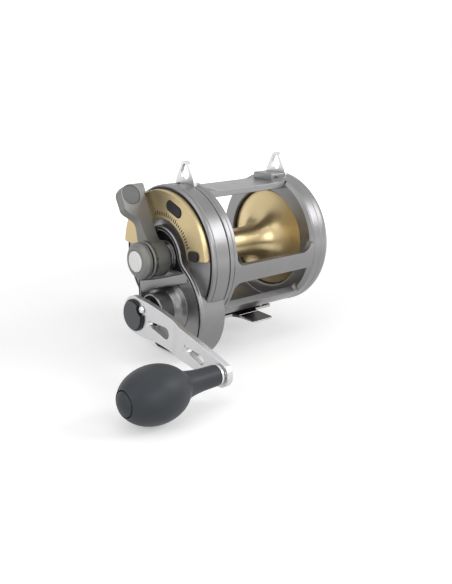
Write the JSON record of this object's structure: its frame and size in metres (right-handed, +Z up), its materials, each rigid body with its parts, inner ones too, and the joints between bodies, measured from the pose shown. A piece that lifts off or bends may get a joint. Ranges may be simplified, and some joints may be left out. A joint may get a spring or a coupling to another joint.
{
  "type": "trolling reel",
  "caption": "Lever-drag trolling reel with an open one-piece frame, polished spool, dial and drag lever, crank arm with an egg-shaped knob, harness lugs and rod foot.",
  "frame": {"origin": "centre of the reel foot's flat underside, where it lies on the rod's reel seat", "axes": "+X along the spool axis to the handle side, +Y forward to the rod tip, +Z up away from the rod"},
  "size_m": [0.2296, 0.1639, 0.1358],
  "materials": {
    "frame_grey": "satin",
    "lever_grey": "satin",
    "pad_grey": "matte",
    "dark_alloy": "satin",
    "gold_anodised": "satin anodised",
    "polished_gold": "polished anodised",
    "bright_alloy": "satin",
    "silver_cap": "satin",
    "polished_steel": "polished",
    "chrome_trim": "polished",
    "black_plastic": "matte",
    "black_rubber": "matte",
    "soft_grip": "soft-touch matte",
    "gear_bronze": "machined",
    "drag_carbon": "matte",
    "inner_steel": "machined"
  },
  "bodies": {
    "reel_body": {"frame": "frame_grey", "handle_side_plate": "frame_grey", "left_side_cap": "frame_grey", "left_bearing_cap": "frame_grey", "bridge_plate": "dark_alloy", "drag_dial": "gold_anodised", "harness_lug_right": "polished_steel", "harness_lug_left": "polished_steel", "reel_foot": "polished_steel", "lever_end_stop": "black_plastic", "crank_tube_seal": "black_rubber", "foot_screw_1": "inner_steel", "foot_screw_2": "inner_steel", "foot_screw_3": "inner_steel", "foot_screw_4": "inner_steel", "lug_screw_right": "inner_steel", "lug_screw_left": "inner_steel", "side_plate_screw_1": "inner_steel", "side_plate_screw_2": "inner_steel", "side_plate_screw_3": "inner_steel", "bridge_screw_1": "inner_steel", "bridge_screw_2": "inner_steel", "strike_spring": "inner_steel", "pinion_bearing": "inner_steel", "cam_ring": "inner_steel", "disc_spring_1": "inner_steel", "disc_spring_2": "inner_steel", "spool_shaft": "inner_steel", "spool_bearing_left": "inner_steel", "spool_bearing_right": "inner_steel", "left_cap_screw_1": "inner_steel", "left_cap_screw_2": "inner_steel", "left_cap_screw_3": "inner_steel", "crank_bearing_inner": "inner_steel", "crank_bearing_outer": "inner_steel"},
    "spool": {"spool": "polished_gold", "click_ratchet": "inner_steel"},
    "drive": {"pinion": "gear_bronze", "drive_plate": "inner_steel", "drag_washer": "drag_carbon"},
    "crank": {"crank_shaft": "inner_steel", "crank_sleeve": "chrome_trim", "main_gear": "gear_bronze", "anti_reverse_ratchet": "inner_steel", "crank_arm": "bright_alloy", "handle_nut": "inner_steel", "nut_cap": "pad_grey", "nut_cap_screw": "chrome_trim", "knob_spindle": "inner_steel", "knob_collar": "chrome_trim"},
    "knob": {"knob": "soft_grip", "knob_end_cap": "soft_grip"},
    "lever": {"drag_lever": "lever_grey", "lever_pad": "pad_grey"},
    "preset": {"preset_knob": "lever_grey", "preset_knob_cap": "silver_cap"},
    "strike": {"strike_button": "black_plastic"},
    "clicker": {"click_button": "black_plastic", "click_tongue": "inner_steel"},
    "pawl": {"anti_reverse_pawl": "inner_steel"}
  },
  "joints": [
    {"name": "crank_turn", "type": "hinge", "parent": "reel_body", "child": "crank", "pos_m": [0.08, 0.00507, 0.01636], "axis": [1, 0, 0], "continuous": true},
    {"name": "spool_spin", "type": "hinge", "parent": "reel_body", "child": "spool", "pos_m": [0, 0, 0.052], "axis": [1, 0, 0], "continuous": true},
    {"name": "pinion_spin", "type": "hinge", "parent": "reel_body", "child": "drive", "pos_m": [0.05, 0, 0.052], "axis": [1, 0, 0], "continuous": true},
    {"name": "knob_spin", "type": "hinge", "parent": "crank", "child": "knob", "pos_m": [0.12, 0.096, 0.00049], "axis": [1, 0, 0], "continuous": true},
    {"name": "lever_swing", "type": "hinge", "parent": "reel_body", "child": "lever", "pos_m": [0.07, 0, 0.052], "axis": [-1, 0, 0], "range_deg": [0, 90]},
    {"name": "preset_turn", "type": "hinge", "parent": "reel_body", "child": "preset", "pos_m": [0.085, 0, 0.052], "axis": [1, 0, 0], "range_deg": [-180, 180]},
    {"name": "strike_press", "type": "slide", "parent": "reel_body", "child": "strike", "axis": [-1, 0, 0], "range_m": [0, 0.001], "stiffness_N_per_m": 400, "springref_m": -0.002},
    {"name": "click_slide", "type": "slide", "parent": "reel_body", "child": "clicker", "axis": [0, 0, -1], "range_m": [0, 0.004]},
    {"name": "pawl_engage", "type": "hinge", "parent": "reel_body", "child": "pawl", "pos_m": [0.05, 0.02068, 0.03041], "axis": [-1, 0, 0], "range_deg": [0, 9]}
  ],
  "couplings": [
    {"joint": "spool_spin", "follows": "crank_turn", "ratio": -5},
    {"joint": "pinion_spin", "follows": "crank_turn", "ratio": -5}
  ]
}
